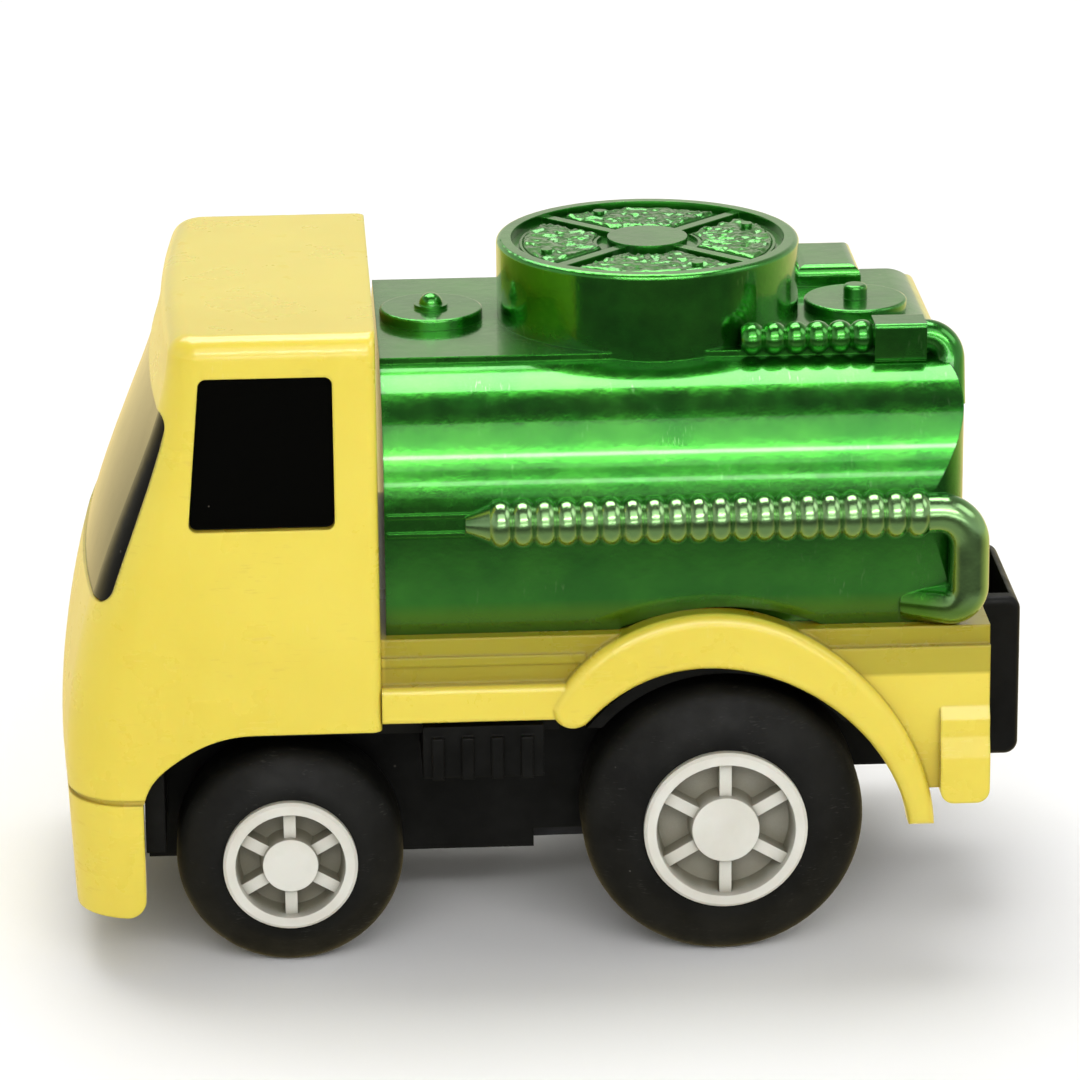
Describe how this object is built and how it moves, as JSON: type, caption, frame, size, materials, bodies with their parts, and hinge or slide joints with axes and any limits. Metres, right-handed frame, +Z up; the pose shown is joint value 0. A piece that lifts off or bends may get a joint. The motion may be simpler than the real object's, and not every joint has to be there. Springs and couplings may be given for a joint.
{
  "type": "toy tanker truck",
  "caption": "Pocket pull-back toy tanker truck: cab-over cab, plated tank with moulded hoses and filler housing, spoked wheels and a geared spring motor.",
  "frame": {"origin": "on the ground under the middle of the overall length and width, wheels resting on Z = 0", "axes": "+X forward out of the cab, +Y to the truck's left, +Z up"},
  "size_m": [0.0496, 0.027, 0.0348],
  "materials": {
    "yellow_plastic": "glossy moulded yellow, lightly scuffed",
    "window_black": "polished opaque black",
    "green_plating": "vacuum-metallised green over plastic, satin mirror",
    "black_plastic": "moulded black",
    "tyre_rubber": "soft black rubber",
    "hub_plastic": "off-white moulded",
    "axle_steel": "drawn bright rod",
    "screw_steel": "zinc plated",
    "spring_steel": "blued strip",
    "gear_plastic": "white gear plastic",
    "motor_plastic": "black gear plastic"
  },
  "bodies": {
    "truck": {"cab_shell": "yellow_plastic", "bed": "yellow_plastic", "glazing_insert": "window_black", "tank": "green_plating", "chassis": "black_plastic", "body_screws": "screw_steel", "idler_pin": "axle_steel", "mainspring": "spring_steel", "motor_case": "motor_plastic", "motor_cover": "motor_plastic"},
    "front_wheels": {"front_axle": "axle_steel", "tyre_front_left": "tyre_rubber", "tyre_front_right": "tyre_rubber", "hub_front_left": "hub_plastic", "hub_front_right": "hub_plastic"},
    "rear_wheels": {"rear_axle": "axle_steel", "tyre_rear_left": "tyre_rubber", "tyre_rear_right": "tyre_rubber", "hub_rear_left": "hub_plastic", "hub_rear_right": "hub_plastic", "axle_pinion": "gear_plastic"},
    "idler": {"idler_gear": "gear_plastic"},
    "spring_arbor": {"spring_gear": "gear_plastic"}
  },
  "joints": [
    {"name": "front_axle_spin", "type": "hinge", "parent": "truck", "child": "front_wheels", "pos_m": [0.0132, 0, 0.00575], "axis": [0, 1, 0], "continuous": true},
    {"name": "rear_axle_spin", "type": "hinge", "parent": "truck", "child": "rear_wheels", "pos_m": [-0.0088, 0, 0.00715], "axis": [0, 1, 0], "continuous": true},
    {"name": "idler_spin", "type": "hinge", "parent": "truck", "child": "idler", "pos_m": [-0.0034, 0, 0.01002], "axis": [0, 1, 0], "continuous": true},
    {"name": "spring_spin", "type": "hinge", "parent": "truck", "child": "spring_arbor", "pos_m": [0.00271, 0, 0.0096], "axis": [0, 1, 0], "continuous": true}
  ],
  "couplings": [
    {"joint": "idler_spin", "follows": "rear_axle_spin", "ratio": -0.41667},
    {"joint": "spring_spin", "follows": "rear_axle_spin", "ratio": 0.17361}
  ]
}
